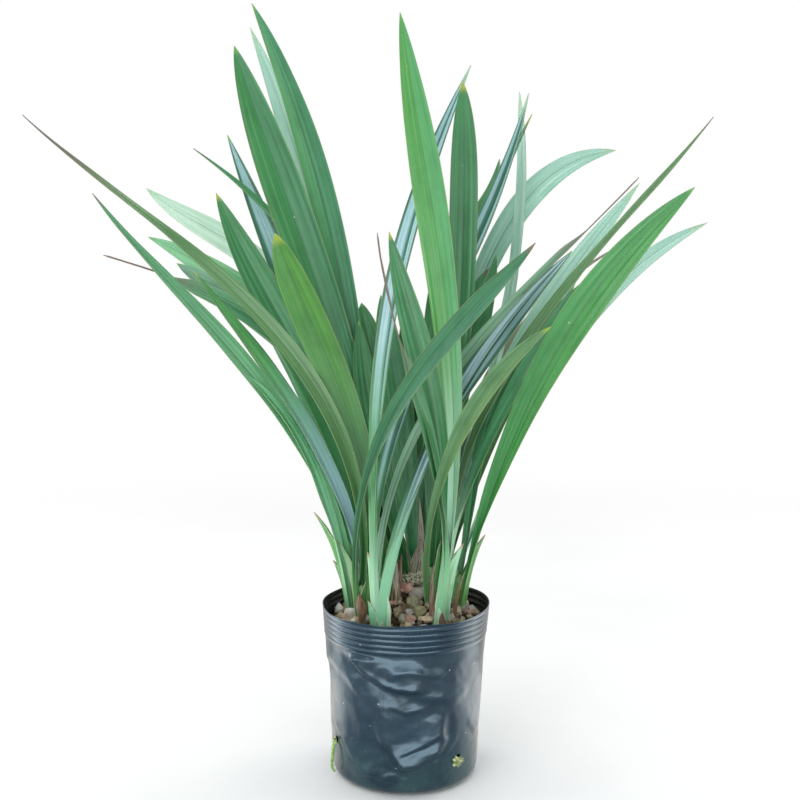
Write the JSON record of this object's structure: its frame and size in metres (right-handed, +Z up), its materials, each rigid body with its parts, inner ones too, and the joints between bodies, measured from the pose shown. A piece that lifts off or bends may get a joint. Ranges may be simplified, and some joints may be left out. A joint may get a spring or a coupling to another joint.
{
  "type": "potted cymbidium sinense",
  "caption": "Broad-leaved orchid with long arching strap leaves in stony soil, in a ribbed black film nursery pot.",
  "frame": {"origin": "centre of the pot's flat underside", "axes": "+Z up through the pot; -Y towards the side seen in the picture; +X to the right of that view"},
  "size_m": [0.6559, 0.431, 0.7553],
  "materials": {
    "film": "thin black polyethylene film, glossy, creased",
    "soil": "dull stone chips and dark bark soil",
    "leaf": "leathery green leaf, satin gloss",
    "dry_bract": "dry papery bract, matt",
    "moss": "soft matt moss and root"
  },
  "bodies": {
    "root": {"pot": "film", "substrate": "soil", "shoot_left_outer": "leaf", "shoot_left_inner": "leaf", "shoot_front_left": "leaf", "shoot_left_back": "leaf", "shoot_back_left": "leaf", "shoot_centre_back": "leaf", "shoot_centre": "leaf", "shoot_front_right": "leaf", "shoot_right": "leaf", "shoot_back_right": "leaf", "old_stem": "dry_bract", "dry_bract_left": "dry_bract", "dry_bract_right": "dry_bract", "dry_bract_middle": "dry_bract", "dry_bract_back": "dry_bract", "moss_and_root_left": "moss", "moss_tuft_right": "moss"}
  },
  "joints": []
}
